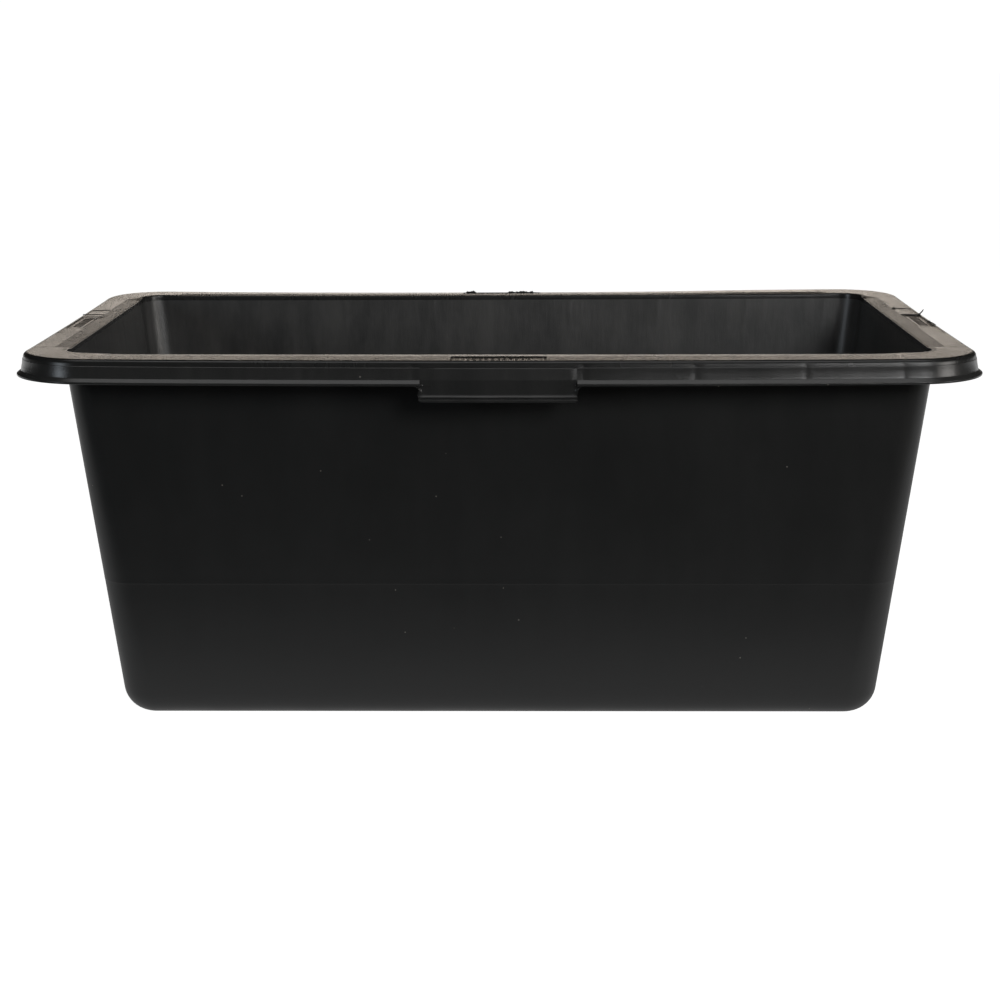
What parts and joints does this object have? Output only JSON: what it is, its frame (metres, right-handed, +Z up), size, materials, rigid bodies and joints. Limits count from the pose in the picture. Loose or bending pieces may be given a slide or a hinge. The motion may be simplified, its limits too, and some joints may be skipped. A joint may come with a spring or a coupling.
{
  "type": "mortar mixing tub",
  "caption": "Rectangular moulded plastic tub for mixing mortar, with tapered walls, a broad skirted rim and a deeper grip on each side.",
  "frame": {"origin": "centre of the flat underside, on the ground", "axes": "+X along the length to the right, +Y from the front grip to the back, +Z up; the front of the picture faces -Y"},
  "size_m": [0.77, 0.45, 0.3145],
  "materials": {
    "moulded_black": "fine moulded grain, faint flow streaks, satin",
    "rim_black": "fine moulded grain, slightly dusty on the flat top",
    "marking_pad": "eroded mould texture, matte"
  },
  "bodies": {
    "root": {"tub_shell": "moulded_black", "rim_flange": "rim_black", "rim_skirt": "rim_black", "front_grip": "rim_black", "right_grip": "rim_black", "back_grip": "rim_black", "left_grip": "rim_black", "rim_webs": "moulded_black", "front_pad": "marking_pad", "right_pad": "marking_pad", "back_pad": "marking_pad", "left_pad": "marking_pad"}
  },
  "joints": []
}
